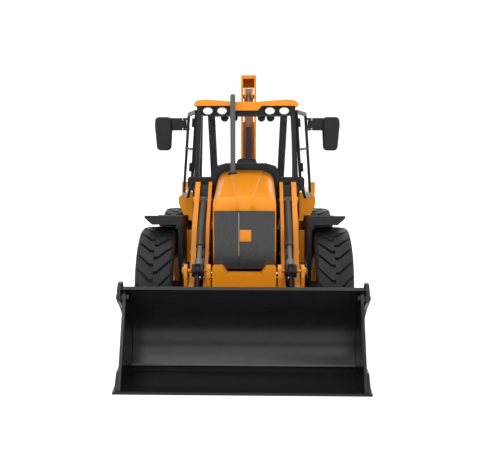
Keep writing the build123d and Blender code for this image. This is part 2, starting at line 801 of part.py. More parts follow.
clam_floor = [(-128, 0), (-127.4, 1.4), (-84, 4.2), (-80.4, 5.4), (-80.0, 3.0), (-84, 0)]
clam_side = [
    (-126, 0),
    (-84, 0),
    (-80.4, 4.2),
    (-75.0, 14),
    (-72.8, 26),
    (-74.6, 37.4),
    (-82, 51.4),
    (-89, 58.4),
    (-91, 64.0),
    (-96, 64),
    (-97.6, 58),
]
side_cutter = [(-126, 0), (-90, 0), (-90, 7), (-108, 13), (-116, 12.4), (-125, 3)]
clam_side_x = (84.4, 86.6)
side_cutter_x = 88.6
cutting_edge_x = 89.6
with BuildPart() as bucket_clam:
    prism(clam_floor, -clam_side_x[1], clam_side_x[1])
    prism([(-128, 0), (-127.6, 1.6), (-119, 2.4), (-118, 0)], -cutting_edge_x, cutting_edge_x)
    for hand in (-1, 1):
        prism(clam_side, hand * clam_side_x[0], hand * clam_side_x[1])
        prism(side_cutter, hand * (clam_side_x[1] - 0.4), hand * side_cutter_x)
        cross_pin(clam_pivot, hand * 80, hand * 100, 4.0 + 2 * running_clearance, mode=Mode.SUBTRACT)
finish(bucket_clam.part, "bucket_clam")

# ---- doors, standing a little open, each in a plane that leans in at the top ----
door_foot = (51.0, 60.2, 116.0)
door_lean = (-6.2, 81.8)
door_reach = (12.9, 61.2)
door_length = math.hypot(*door_reach)
door_height = 83.6
door_outline = [
    (0, 22),
    (0, door_height - 3),
    (4, door_height),
    (door_length - 2, door_height - 1),
    (door_length, door_height - 5),
    (door_length + 0.4, 4),
    (door_length - 4, 0.6),
    (26, 0.6),
    (16, 7),
]
door_inset = 3.6
door_half_thickness = 1.25
strut_height = 47.6
hinge_offset = 2.5
hinge_heights = (31.6, 72.0)
mirror_pin = (62.2, 122.9)
mirror_arm_bottom = 181.0
mirror_arm_top = 193.3
mirror_lug = 2.0
for name, hand in hands.items():
    along_door = Vector(hand * door_reach[0], door_reach[1], 0)
    lean = Vector(hand * door_lean[0], 0, door_lean[1])
    foot = Vector(hand * door_foot[0], front_axle_y + door_foot[1], door_foot[2])
    door_plane = Plane(origin=foot, x_dir=along_door, z_dir=along_door.cross(lean))
    with BuildPart() as door:
        with BuildSketch(door_plane) as panel:
            with BuildLine():
                Polyline(*door_outline, close=True)
            make_face()
            fillet(panel.vertices(), 2.4)
            offset(panel.sketch_local, -door_inset, mode=Mode.SUBTRACT)
            with Locations((door_length / 2, strut_height)):
                Rectangle(door_length - 2, 2.2)
        extrude(amount=door_half_thickness, both=True)
        for hinge_height in hinge_heights:
            hinge_foot = foot + Vector(hand * hinge_offset, 0, 0) + lean.normalized() * hinge_height
            with BuildSketch(Plane(origin=hinge_foot, z_dir=lean)) as knuckle_end:
                Circle(1.3)
            extrude(knuckle_end.sketch, amount=4.0, both=True)
            with BuildSketch(Plane(origin=hinge_foot, z_dir=lean)) as strap:
                with Locations((-hand * hinge_offset / 2, 1.2)):
                    Rectangle(hinge_offset, 2.4)
            extrude(strap.sketch, amount=3.0, both=True)
        for lug_z in (mirror_arm_bottom, mirror_arm_top - mirror_lug):
            block((hand * 57.2, hand * mirror_pin[0]), (118.8, 124.8), (lug_z, lug_z + mirror_lug))
            with Locations((hand * mirror_pin[0], front_axle_y + mirror_pin[1], lug_z + mirror_lug / 2)):
                Cylinder(1.9, mirror_lug)
        with Locations((hand * mirror_pin[0], front_axle_y + mirror_pin[1], 187.15)):
            Cylinder(0.8, 12)
    finish(door.part, f"door_{name}")
    with BuildPart() as door_glass:
        with BuildSketch(door_plane) as pane:
            with BuildLine():
                Polyline(*door_outline, close=True)
            make_face()
            fillet(pane.vertices(), 2.4)
            offset(pane.sketch_local, -door_inset - 0.02, mode=Mode.REPLACE)
            with Locations((door_length / 2, strut_height)):
                Rectangle(door_length - 2, 2.24, mode=Mode.SUBTRACT)
        extrude(amount=0.4, both=True)
    finish(door_glass.part, f"door_glass_{name}")

# ---- mirrors, each on an upright pin between the two lugs of its door ----
mirror_head = [(76, 161.2), (89.8, 161.2), (91.7, 186), (91.2, 194.3), (75.2, 194.3), (74.4, 186)]
for name, hand in hands.items():
    with BuildPart() as mirror:
        arm_z = (mirror_arm_bottom, mirror_arm_top)
        barrel_z = (mirror_arm_bottom + mirror_lug + 0.2, mirror_arm_top - mirror_lug - 0.2)
        block((hand * 64.6, hand * 76), (121.4, 124.4), arm_z)
        block((hand * mirror_pin[0], hand * 65.4), (121.4, 124.4), barrel_z)
        slab([(hand * x, z) for x, z in mirror_head], 119, 127, 4.2)
        chamfer(mirror.faces().sort_by(Axis.Y)[0].edges(), 1.4)
        with Locations((hand * mirror_pin[0], front_axle_y + mirror_pin[1], 187.15)):
            Cylinder(2.0, barrel_z[1] - barrel_z[0])
            Cylinder(0.8 + running_clearance, 20, mode=Mode.SUBTRACT)
    finish(mirror.part, f"mirror_{name}")

# ---- backhoe: kingpost, boom, dipper, rams, bucket ----
kingpost_cheek = [
    (258, 49),
    (270, 49),
    (284, 38),
    (291, 38),
    (293, 46),
    (281, 60),
    (277, 66),
    (268, 67),
    (258, 66),
]
with BuildPart() as kingpost:
    with Locations((0, front_axle_y + swing_axis_y, 61)):
        Cylinder(8.6, 25.6)
    for hand in (-1, 1):
        prism(
            kingpost_cheek,
            hand * 9.4,
            hand * 12.0,
            1.2,
        )
        block((hand * 4, hand * 12), (254, 262.4), (48.8, 66))
        cross_pin(boom_pivot, hand * 9.0, hand * 13.0, 8.0)
    cross_pin(boom_pivot, -12.6, 12.6, 5.0)
    cross_pin(boom_ram_base, -12.6, 12.6, pin_diameter)
    with Locations((0, front_axle_y + swing_axis_y, 61)):
        Cylinder(4.0 + running_clearance, 60, mode=Mode.SUBTRACT)
finish(kingpost.part, "kingpost")

boom_outline = [
    (266, 52),
    (272, 49),
    (278, 53),
    (279, 70),
    (281, 116),
    (281, 196),
    (289, 212),
    (289, 229),
    (282, 246),
    (262, 246),
    (262, 118),
]
with BuildPart() as boom:
    for hand in (-1, 1):
        prism(boom_outline, hand * (boom_half_width - boom_wall), hand * boom_half_width, 1.6)
    prism([(279, 74), (277, 74), (278.6, 116), (278.6, 192), (281, 192), (281, 116)], -8, 8)
    block((-8, 8), (263, 281), (242, 246))
    prism([(287.8, 232.6), (282, 246), (279.6, 245.4), (285, 232.6)], -8, 8)
    block((-8, 8), (262.6, 279), (106, 109))
    for hand in (-1, 1):
        prism(
            [(279.5, 112), (289.5, 119), (290.5, 126), (287, 129.4), (279.5, 134)],
            hand * 4.2,
            hand * 6.6,
        )
    cross_pin(boom_ram_pin, -6.6, 6.6, pin_diameter)
    cross_pin(dipper_ram_base, -8.6, 8.6, pin_diameter)
    cross_pin(dipper_pivot, -8.6, 8.6, 5.0)
    cross_pin(boom_pivot, -20, 20, 5.0 + 2 * running_clearance, mode=Mode.SUBTRACT)
    for hand in (-1, 1):
        cross_pin(dipper_ram_base, hand * boom_half_width, hand * (boom_half_width + 1.4), 6.4)
finish(boom.part, "boom")

with BuildPart() as boom_ram_barrel:
    ram_barrel(0, boom_ram_base, boom_ram_pin, 54.0, ram_diameter)
finish(boom_ram_barrel.part, "boom_ram_barrel")

with BuildPart() as boom_ram_rod:
    ram_rod(0, boom_ram_base, boom_ram_pin, 30.0, 3.2, 8.8)
finish(boom_ram_rod.part, "boom_ram_rod")

with BuildPart() as dipper_ram_barrel:
    ram_barrel(0, dipper_ram_base, dipper_ram_pin, 66.0, ram_diameter)
finish(dipper_ram_barrel.part, "dipper_ram_barrel")

with BuildPart() as dipper_ram_rod:
    ram_rod(0, dipper_ram_base, dipper_ram_pin, 32.0, 2.4, 8.8)
finish(dipper_ram_rod.part, "dipper_ram_rod")

dipper_outline = [
    (261, 224),
    (265, 231),
    (282, 231),
    (290, 226),
    (298, 200),
    (307.8, 136),
    (308.4, 120),
    (306, 100),
    (300, 99),
    (298, 104),
    (294, 136),
    (286, 200),
    (278, 214),
    (264, 220),
]
with BuildPart() as dipper:
    prism(dipper_outline, -dipper_half_width, dipper_half_width, 1.6)
    block((-2.8, 2.8), (255, 272), (210, 240), mode=Mode.SUBTRACT)
    cross_pin(dipper_ram_pin, -dipper_half_width, dipper_half_width, pin_diameter)
    cross_pin(hoe_ram_base, -dipper_half_width, dipper_half_width, 9.6, mode=Mode.SUBTRACT)
    for hand in (-1, 1):
        prism([(292, 190), (308, 191), (308.6, 199), (303, 203), (290, 204)], hand * 3.6, hand * 5.4)
    cross_pin(hoe_ram_base, -dipper_half_width, dipper_half_width, pin_diameter)
    cross_pin(dipper_pivot, -20, 20, 5.0 + 2 * running_clearance, mode=Mode.SUBTRACT)
    for end_pin in (hoe_pivot, hoe_lever_pivot):
        cross_pin(end_pin, -9.4, 9.4, 4.0)
finish(dipper.part, "dipper")

with BuildPart() as hoe_ram_barrel:
    ram_barrel(0, hoe_ram_base, hoe_lever_tip, 50.0, ram_diameter)
finish(hoe_ram_barrel.part, "hoe_ram_barrel")

with BuildPart() as hoe_ram_rod:
    ram_rod(0, hoe_ram_base, hoe_lever_tip, 26.0, 3.0, 8.6)
finish(hoe_ram_rod.part, "hoe_ram_rod")

with BuildPart() as hoe_lever:
    for hand in (-1, 1):
        prism(
            [(301.6, 126), (305, 128), (309, 126.6), (319, 118), (319.6, 112.6), (314, 111), (302.6, 120)],
            hand * 5.8,
            hand * 7.2,
            1.0,
        )
    cross_pin(hoe_lever_tip, -9.2, 9.2, pin_diameter)
    cross_pin(hoe_lever_pivot, -20, 20, 4.0 + 2 * running_clearance, mode=Mode.SUBTRACT)
finish(hoe_lever.part, "hoe_lever")

with BuildPart() as hoe_link:
    for hand in (-1, 1):
        bar(hand * 8.2, hoe_lever_tip, hoe_link_pin, 1.4)
        for link_end in (hoe_lever_tip, hoe_link_pin):
            cross_pin(link_end, hand * 7.5, hand * 8.9, 6.0)
    cross_pin(hoe_link_pin, -8.9, 8.9, 3.0)
    cross_pin(hoe_lever_tip, -20, 20, pin_hole, mode=Mode.SUBTRACT)
finish(hoe_link.part, "hoe_link")

hoe_shell = [
    (299.6, 92.5),
    (312, 90),
    (328, 88),
    (337, 78),
    (337, 64),
    (328, 52),
    (303, 53),
    (303, 55.4),
    (327, 54.6),
    (334.4, 65),
    (334.4, 77),
    (326.6, 85.4),
    (311, 87.4),
    (299.6, 90),
]
hoe_cheek = [(299.6, 92.5), (312, 90), (328, 88), (337, 78), (337, 64), (328, 52), (304, 53)]
with BuildPart() as hoe_bucket:
    prism(hoe_shell, -hoe_bucket_half_width, hoe_bucket_half_width)
    for hand in (-1, 1):
        prism(
            hoe_cheek,
            hand * (hoe_bucket_half_width - 2),
            hand * hoe_bucket_half_width,
        )
        prism(
            [(298.6, 91), (298.6, 107), (304, 109), (308, 104), (318.4, 96), (318, 88)],
            hand * 10.0,
            hand * 12.0,
        )
    cross_pin(hoe_pivot, -20, 20, 4.0 + 2 * running_clearance, mode=Mode.SUBTRACT)
    for tooth_x in (-16, -6, 6, 16):
        prism([(306, 52.4), (306, 56), (296, 54.4), (296, 53.4)], tooth_x - 2, tooth_x + 2)
finish(hoe_bucket.part, "hoe_bucket")
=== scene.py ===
"""Looks of the toy backhoe loader: materials, small detail pieces, studio and camera."""

import json
import math

import bmesh
import bpy
from mathutils import Matrix, Vector


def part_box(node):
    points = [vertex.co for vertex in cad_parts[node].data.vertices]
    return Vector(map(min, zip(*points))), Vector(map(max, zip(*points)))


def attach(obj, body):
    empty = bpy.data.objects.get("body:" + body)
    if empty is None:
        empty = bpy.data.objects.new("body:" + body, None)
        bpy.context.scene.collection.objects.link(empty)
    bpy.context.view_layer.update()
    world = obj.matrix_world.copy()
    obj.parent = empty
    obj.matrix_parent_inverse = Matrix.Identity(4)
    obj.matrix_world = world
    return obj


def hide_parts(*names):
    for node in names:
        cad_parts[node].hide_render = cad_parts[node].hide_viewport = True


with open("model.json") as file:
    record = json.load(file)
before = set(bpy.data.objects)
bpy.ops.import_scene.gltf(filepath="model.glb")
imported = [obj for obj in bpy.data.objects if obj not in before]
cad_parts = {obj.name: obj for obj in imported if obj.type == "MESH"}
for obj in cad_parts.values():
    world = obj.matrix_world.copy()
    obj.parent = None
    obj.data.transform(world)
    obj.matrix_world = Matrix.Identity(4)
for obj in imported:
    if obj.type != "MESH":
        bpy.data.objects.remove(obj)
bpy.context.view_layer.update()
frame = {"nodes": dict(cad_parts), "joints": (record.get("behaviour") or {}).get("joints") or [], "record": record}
MM = 0.001

nodes = frame["nodes"]
joints = {joint["name"]: joint for joint in frame["joints"]}
front_axle = Vector(joints["axle_swing"]["pos_m"])
hands = {"left": 1, "right": -1}
ends = ("front", "rear")


def place(x, y, z):
    """A point given in millimetres: x, rearward of the front axle, and up."""
    return Vector((x * MM, front_axle.y + y * MM, z * MM))


def pivot(joint_name):
    """A joint's position at rest."""
    return Vector(joints[joint_name]["pos_m"])


# ---- materials ----
class Nodes:
    """Short calls for building one material's node tree."""

    def __init__(self, name):
        self.material = bpy.data.materials.new(name)
        self.material.use_nodes = True
        self.tree = self.material.node_tree
        self.shader = self.tree.nodes["Principled BSDF"]

    def add(self, kind, **values):
        node = self.tree.nodes.new(kind)
        for key, value in values.items():
            if key in node.inputs:
                node.inputs[key].default_value = value
            else:
                setattr(node, key, value)
        return node

    def join(self, source, target):
        self.tree.links.new(source, target)

    def noise(self, scale, detail=3.0):
        """Object-space noise, a value from 0 to 1."""
        coords = self.add("ShaderNodeTexCoord")
        noise = self.add("ShaderNodeTexNoise", Scale=scale, Detail=detail)
        self.join(coords.outputs["Object"], noise.inputs["Vector"])
        return noise.outputs["Fac"]

    def ramp(self, source, stops):
        """Grey ramp from (position, grey) stops."""
        ramp = self.add("ShaderNodeValToRGB")
        elements = ramp.color_ramp.elements
        for element, (position, grey_level) in zip(elements, stops):
            element.position = position
            element.color = (grey_level, grey_level, grey_level, 1)
        self.join(source, ramp.inputs["Fac"])
        return ramp.outputs["Color"]

    def mix(self, share, first, second):
        """Blend of two colours, either of them a colour or a socket."""
        mix = self.add("ShaderNodeMix", data_type="RGBA")
        self.join(share, mix.inputs["Factor"])
        for socket, value in ((mix.inputs[6], first), (mix.inputs[7], second)):
            if isinstance(value, tuple):
                socket.default_value = (*value, 1)
            else:
                self.join(value, socket)
        return mix.outputs[2]

    def rounded_bump(self, height, depth, edge):
        """Rounded edges with a fine surface height over them."""
        bevel = self.add("ShaderNodeBevel", Radius=edge)
        bump = self.add("ShaderNodeBump", Distance=depth, Strength=1.0)
        self.join(height, bump.inputs["Height"])
        self.join(bevel.outputs["Normal"], bump.inputs["Normal"])
        self.join(bump.outputs["Normal"], self.shader.inputs["Normal"])


DRIFT_SCALE = 22.0
SMEAR_SCALE = 90.0
RUBBED_EDGE = 0.06
MOULDED_EDGE = 0.0004


def moulded(name, colour, shade, rough, grain, grain_depth, gloss=0.3):
    """Moulded plastic: slow colour drift, rubbed edges, and a fine moulded grain."""
    nt = Nodes(name)
    drift = nt.ramp(nt.noise(DRIFT_SCALE, 1.5), [(0.2, 0.0), (0.9, 1.0)])
    body = nt.mix(drift, colour, shade)
    edges = nt.add("ShaderNodeNewGeometry").outputs["Pointiness"]
    rubbed = nt.ramp(edges, [(0.52, 0.0), (0.62, RUBBED_EDGE)])
    lighter = tuple(min(1.0, c * 1.3 + 0.01) for c in colour)
    nt.join(nt.mix(rubbed, body, lighter), nt.shader.inputs["Base Color"])
    smear = nt.ramp(nt.noise(SMEAR_SCALE, 5.0), [(0.3, rough - 0.03), (0.75, rough + 0.06)])
    nt.join(smear, nt.shader.inputs["Roughness"])
    nt.shader.inputs["Specular IOR Level"].default_value = gloss
    nt.rounded_bump(nt.noise(grain, 2.0), grain_depth, MOULDED_EDGE)
    return nt.material


def tyre_rubber():
    """Black tyre compound, dustier and rougher in the low spots."""
    nt = Nodes("tyre_compound")
    dust = nt.ramp(nt.noise(60.0, 6.0), [(0.45, 0.0), (0.8, 0.5)])
    compound = nt.mix(dust, (0.010, 0.010, 0.011), (0.020, 0.020, 0.020))
    nt.join(compound, nt.shader.inputs["Base Color"])
    nt.join(nt.ramp(nt.noise(140.0), [(0.3, 0.5), (0.7, 0.68)]), nt.shader.inputs["Roughness"])
    nt.shader.inputs["Specular IOR Level"].default_value = 0.3
    nt.rounded_bump(nt.noise(1800.0, 2.0), 0.00008, 0.0006)
    return nt.material


def clear_plastic(name, tint, alpha):
    """Thin clear moulding with faint flow marks."""
    nt = Nodes(name)
    paler = tuple(min(1.0, c * 1.4) for c in tint)
    nt.join(nt.mix(nt.noise(25.0), tint, paler), nt.shader.inputs["Base Color"])
    nt.join(nt.ramp(nt.noise(50.0), [(0.3, 0.03), (0.8, 0.08)]), nt.shader.inputs["Roughness"])
    nt.shader.inputs["Alpha"].default_value = alpha
    nt.shader.inputs["IOR"].default_value = 1.45
    nt.material.surface_render_method = "BLENDED"
    return nt.material


def lamp_lens():
    """White ribbed lens."""
    nt = Nodes("lamp_lens_white")
    wave = nt.add("ShaderNodeTexWave", Scale=900.0)
    coords = nt.add("ShaderNodeTexCoord")
    nt.join(coords.outputs["Object"], wave.inputs["Vector"])
    ribs = nt.mix(wave.outputs["Fac"], (0.86, 0.87, 0.88), (0.97, 0.97, 0.97))
    nt.join(ribs, nt.shader.inputs["Base Color"])
    nt.join(nt.ramp(nt.noise(300.0), [(0.3, 0.12), (0.8, 0.2)]), nt.shader.inputs["Roughness"])
    nt.rounded_bump(wave.outputs["Fac"], 0.00006, 0.0002)
    return nt.material


# name, colour, drifted colour, roughness, grain scale and grain depth
yellow = moulded(
    "yellow_moulded", (0.70, 0.235, 0.004), (0.67, 0.220, 0.004), 0.32, 700.0, 0.00003
)
black = moulded(
    "black_moulded", (0.011, 0.011, 0.012), (0.009, 0.009, 0.010), 0.40, 1400.0, 0.00004, gloss=0.22
)
bucket_black = moulded(
    "bucket_moulded",
    (0.006, 0.006, 0.007),
    (0.005, 0.005, 0.006),
    0.22,
    1200.0,
    0.00002,
    gloss=0.35,
)
grey = moulded("grey_moulded", (0.085, 0.082, 0.088), (0.075, 0.072, 0.078), 0.36, 900.0, 0.00003)
rod_grey = moulded("rod_grey", (0.15, 0.147, 0.135), (0.13, 0.128, 0.118), 0.30, 500.0, 0.00002)
barrel_grey = moulded(
    "barrel_grey", (0.055, 0.054, 0.048), (0.048, 0.047, 0.042), 0.34, 700.0, 0.00002
)
grille_black = moulded(
    "grille_moulded", (0.015, 0.015, 0.017), (0.012, 0.012, 0.014), 0.24, 900.0, 0.00001, gloss=0.55
)
# painted highlight: mid grey for the bright line where the blade's edge meets the clam floor
rib_painted_highlight = moulded("rib_painted_highlight", (0.12, 0.12, 0.125), (0.10, 0.10, 0.105), 0.30, 900.0, 0.00001)
# painted highlight: light grey standing for the light caught along the grille's fold
fold_painted_highlight = moulded("fold_painted_highlight", (0.22, 0.21, 0.20), (0.19, 0.18, 0.17), 0.30, 900.0, 0.00001)
rubber = tyre_rubber()
clear = clear_plastic("clear_moulded", (0.22, 0.24, 0.25), 0.02)
lens_white = lamp_lens()
silver = moulded("mirror_silver", (0.62, 0.64, 0.66), (0.58, 0.60, 0.62), 0.08, 300.0, 0.0)

finishes = {
    "yellow_plastic": yellow,
    "black_plastic": black,
    "grey_plastic": grey,
    "clear_plastic": clear,
    "tyre_rubber": rubber,
    "lamp_lens": black,
}
special = {
    "bucket": bucket_black,
    "bucket_clam": bucket_black,
    "hoe_bucket": bucket_black,
    "grille": grille_black,
    "crowd_barrels": barrel_grey,
    "lift_barrels": barrel_grey,
    "crowd_rods": rod_grey,
    "lift_rods": rod_grey,
    "boom_ram_rod": rod_grey,
    "dipper_ram_rod": rod_grey,
    "hoe_ram_rod": rod_grey,
    "boom_ram_barrel": black,
    "dipper_ram_barrel": black,
    "hoe_ram_barrel": black,
}
slot_of = {part["node"]: part["material_slot"] for part in frame["record"]["subparts"]}
CAD_SHARP_ANGLE = math.radians(32)
for node_name, node in nodes.items():
    node.data.materials.clear()
    node.data.materials.append(special.get(node_name, finishes[slot_of[node_name]]))
    for polygon in node.data.polygons:
        polygon.use_smooth = True
    node.data.set_sharp_from_angle(angle=CAD_SHARP_ANGLE)


# ---- piece builders ----
def mesh_of(shape, name):
    """The named mesh of a finished bmesh, which is freed."""
    mesh = bpy.data.meshes.new(name)
    shape.to_mesh(mesh)
    shape.free()
    return mesh


def finish_piece(name, mesh, body, finish, smooth_angle=35):
    """A mesh becomes a named piece that rides on a CAD body."""
    piece = bpy.data.objects.new(name, mesh)
    bpy.context.scene.collection.objects.link(piece)
    mesh.materials.append(finish)
    for polygon in mesh.polygons:
        polygon.use_smooth = True
    mesh.set_sharp_from_angle(angle=math.radians(smooth_angle))
    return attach(piece, body)


def turned(name, profile, centre, axis, body, finish, segments=48):
    """A turned piece from a (radius, along) profile in millimetres."""
    shape = bmesh.new()
    rings = []
    for radius, distance in profile:
        if radius == 0:
            rings.append([shape.verts.new((0, 0, distance * MM))])
            continue
        ring = []
        for step in range(segments):
            angle = math.tau * step / segments
            across = radius * MM * math.cos(angle)
            upward = radius * MM * math.sin(angle)
            ring.append(shape.verts.new((across, upward, distance * MM)))
        rings.append(ring)
    for lower, upper in zip(rings, rings[1:]):
        for step in range(segments):
            following = (step + 1) % segments
            if len(lower) == 1:
                shape.faces.new((lower[0], upper[step], upper[following]))
            elif len(upper) == 1:
                shape.faces.new((lower[step], lower[following], upper[0]))
            else:
                shape.faces.new((lower[step], lower[following], upper[following], upper[step]))
    turn = Vector((0, 0, 1)).rotation_difference(Vector(axis)).to_matrix().to_4x4()
    shape.transform(Matrix.Translation(centre) @ turn)
    bmesh.ops.recalc_face_normals(shape, faces=shape.faces)
    return finish_piece(name, mesh_of(shape, name), body, finish)


BEVEL_OVER_ANGLE = 0.6


def panel(name, outline, origin, right, up, depth, body, finish, bevel):
    """A flat outline in millimetres, (right, up) from origin, given depth and rounded edges."""
    right, up = Vector(right).normalized(), Vector(up).normalized()
    out = right.cross(up)
    shape = bmesh.new()
    back = [shape.verts.new(origin + right * (x * MM) + up * (z * MM)) for x, z in outline]
    front = [shape.verts.new(v.co + out * (depth * MM)) for v in back]
    shape.faces.new(back)
    shape.faces.new(front)
    for step in range(len(back)):
        following = (step + 1) % len(back)
        shape.faces.new((back[step], back[following], front[following], front[step]))
    bmesh.ops.recalc_face_normals(shape, faces=shape.faces)
    sharp = [edge for edge in shape.edges if edge.calc_face_angle(0) > BEVEL_OVER_ANGLE]
    bmesh.ops.bevel(
        shape,
        geom=sharp,
        offset=bevel * MM,
        segments=3,
        profile=0.5,
        affect="EDGES",
        clamp_overlap=True,
    )
    return finish_piece(name, mesh_of(shape, name), body, finish)


def rounded_rectangle(width, height, corner, steps=5):
    """Outline points of a rectangle with round corners, about its middle."""
    points = []
    for turn, (sx, sz) in enumerate(((1, 1), (-1, 1), (-1, -1), (1, -1))):
        for step in range(steps + 1):
            angle = math.pi / 2 * (turn + step / steps)
            points.append(
                (
                    sx * (width / 2 - corner) + corner * math.cos(angle),
                    sz * (height / 2 - corner) + corner * math.sin(angle),
                )
            )
    return points


# ---- wheels: bead rings, hub caps and nuts ----
def ring_profile(radius, swell, along_start, along_end):
    """Half-round ridge about a radius, as wide as the two stations are apart."""
    points = []
    for step in range(9):
        angle = math.pi * step / 8
        half = (along_end - along_start) / 2
        points.append((radius + half * math.cos(angle), along_start + swell * math.sin(angle)))
    return points


LUGS = 25
# how far round, in radians, a lug's shoulder end stands from its inner end
LUG_SLANT = 0.23
FLAT_REACH = 3.0
SHOULDER_REACH = 14.3
# share of one lug's pitch, and whether the tread stands there
LUG_STEPS = ((0.0, False), (0.14, False), (0.18, True), (0.42, True), (0.70, True), (0.96, True))
# distance from the tyre's middle, radius on a lug and radius in a groove
TREAD_STATIONS = (
    (0.0, 46.6, 46.6),
    (0.05, 49.95, 47.2),
    (3.0, 49.95, 47.2),
    (6.0, 49.9, 47.2),
    (10.0, 49.6, 47.0),
    (12.8, 48.9, 46.8),
    (14.3, 47.4, 46.2),
    (14.9, 45.0, 45.0),
    (14.9, 41.0, 41.0),
    (14.6, 36.0, 36.0),
    (14.1, 30.0, 30.0),
    (13.7, 27.6, 27.6),
    (12.4, 27.1, 27.1),
)


def tread_tyre(tag, body, middle):
    """Tyre with two staggered rows of slanting lugs that meet in a V low at the front."""
    shape = bmesh.new()
    for row in (-1, 1):
        columns = []
        for lug in range(LUGS):
            for share, standing in LUG_STEPS:
                angle = math.tau * (lug + share + (0.5 if row > 0 else 0.0)) / LUGS
                column = []
                for reach, lug_radius, groove_radius in TREAD_STATIONS:
                    radius = (lug_radius if standing else groove_radius) * MM
                    past_flat = max(0.0, min(reach, SHOULDER_REACH) - FLAT_REACH)
                    slant_share = past_flat / (SHOULDER_REACH - FLAT_REACH)
                    turn = angle + LUG_SLANT * slant_share
                    rearward = -radius * math.cos(turn)
                    offset = Vector((row * reach * MM, rearward, radius * math.sin(turn)))
                    column.append(shape.verts.new(middle + offset))
                columns.append(column)
        for column, following in zip(columns, columns[1:] + columns[:1]):
            for station in range(len(TREAD_STATIONS) - 1):
                outer = station + 1
                shape.faces.new(
                    (column[station], column[outer], following[outer], following[station])
                )
    bmesh.ops.recalc_face_normals(shape, faces=shape.faces)
    mesh = mesh_of(shape, f"tread_{tag}")
    tyre = finish_piece(f"tread_{tag}", mesh, body, rubber, 30)
    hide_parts(f"tyre_{tag}")


# distances outward from the tyre's inner face, and the circle of nuts
HUB_FACE_OUT = 26
NUT_FACE_OUT = 20.6
NUT_CIRCLE_RADIUS = 14.0
NUT_COUNT = 8
BEAD_RADII = (33.0, 39.5)
HUB_CAP_PROFILE = (
    (0, 3.4), (2.5, 3.2), (5.0, 2.4), (6.6, 1.0), (7.4, 0.2), (8.6, 0.1), (8.6, -0.6), (4.1, -0.6),
)
NUT_PROFILE = ((0, 2.0), (1.3, 2.0), (1.7, 1.6), (1.7, -0.8))


def dress_wheel(end, hand_name):
    """Hub cap, nuts and sidewall beads of one wheel."""
    hand = hands[hand_name]
    body = f"wheel_{end}_{hand_name}_body"
    centre = pivot(f"wheel_{end}_{hand_name}_spin")
    low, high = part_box(f"tyre_{end}_{hand_name}")
    outer_x = high.x if hand > 0 else low.x
    inner_x = low.x if hand > 0 else high.x
    outward = Vector((hand, 0, 0))
    tag = f"{end}_{hand_name}"
    inner_face = Vector((inner_x, centre.y, centre.z))
    hub_face = inner_face + outward * HUB_FACE_OUT * MM
    turned(f"hub_cap_{tag}", HUB_CAP_PROFILE, hub_face, outward, body, black)
    nut_face = inner_face + outward * NUT_FACE_OUT * MM
    for number in range(NUT_COUNT):
        angle = math.tau * (number + 0.5) / NUT_COUNT
        spot = nut_face + Vector((0, math.cos(angle), math.sin(angle))) * NUT_CIRCLE_RADIUS * MM
        turned(
            f"wheel_nut_{tag}_{number}",
            NUT_PROFILE,
            spot,
            outward,
            body,
            yellow,
            6,
        )
    tread_tyre(tag, body, Vector(((inner_x + outer_x) / 2, centre.y, centre.z)))
    side = Vector((outer_x, centre.y, centre.z))
    for number, radius in enumerate(BEAD_RADII):
        bead = ring_profile(radius, 0.55, -0.05, 1.15)
        name = f"sidewall_bead_{tag}_{number}"
        turned(name, bead, side, outward, body, rubber, 96)


for end in ends:
    for hand_name in hands:
        dress_wheel(end, hand_name)

# ---- lamps: white lenses in their bezels ----
LENS_SIDES = 32
# how far a lens's back sits inside the bezel's outer face
LENS_INSET = 1.2
FRONT_LENS_HEIGHT = 198.0
REAR_LENS_HEIGHT = 194.6


def oval_lens(name, x, y, z, half_width, half_height, toward):
    """White lens standing out of an oval bezel."""
    outline = []
    for step in range(LENS_SIDES):
        angle = math.tau * step / LENS_SIDES
        outline.append((half_width * math.cos(angle), half_height * math.sin(angle)))
    spot = Vector((x * MM, y, z * MM))
    right = (-toward, 0, 0)
    panel(name, outline, spot, right, (0, 0, 1), 0.9, "base", lens_white, 0.6)


lamps_low, lamps_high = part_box("work_lamps")
front_lens_y = lamps_low.y + LENS_INSET * MM
rear_lens_y = lamps_high.y - LENS_INSET * MM
for number, x in enumerate((-34.0, -21.3, 21.3, 34.0)):
    oval_lens(f"front_lens_{number}", x, front_lens_y, FRONT_LENS_HEIGHT, 4.3, 3.1, -1)
for number, x in enumerate((-24.3, -14.6, 14.6, 24.3)):
    oval_lens(f"rear_lens_{number}", x, rear_lens_y, REAR_LENS_HEIGHT, 3.3, 3.3, 1)

# ---- seat: squab and backrest mouldings ----
CORNER_ROUNDING = 0.10


def crowned_block(name, low, high, crown):
    """A soft-edged black moulding that fills a box, its top crowned."""
    shape = bmesh.new()
    bmesh.ops.create_cube(shape, size=1.0)
    bmesh.ops.subdivide_edges(shape, edges=shape.edges, cuts=5, use_grid_fill=True)
    size = high - low
    middle = (low + high) / 2
    for vertex in shape.verts:
        x, y, z = vertex.co * 2
        round_off = 1 - CORNER_ROUNDING * (x * x * y * y + y * y * z * z + x * x * z * z)
        lift = crown * (1 - x * x) * (1 - y * y) if z > 0 else 0.0
        vertex.co = Vector(
            (
                middle.x + x * size.x / 2 * round_off,
                middle.y + y * size.y / 2 * round_off,
                middle.z + z * (size.z / 2) * round_off * (1 - crown) + lift * size.z / 2,
            )
        )
    piece = finish_piece(name, mesh_of(shape, name), "base", black, 80)
    piece.modifiers.new("round", "SUBSURF").render_levels = 2
    return piece


seat_low, seat_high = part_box("seat")
squab_high = Vector((seat_high.x, seat_low.y + 25 * MM, seat_low.z + 8 * MM))
squab = crowned_block("seat_squab", seat_low, squab_high, 0.12)
back_low = Vector((seat_low.x + 1.5 * MM, seat_high.y - 10 * MM, seat_low.z + 6 * MM))
back_high = Vector((seat_high.x - 1.5 * MM, seat_high.y - 2 * MM, seat_high.z))
crowned_block("seat_backrest", back_low, back_high, 0.05)
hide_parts("seat")

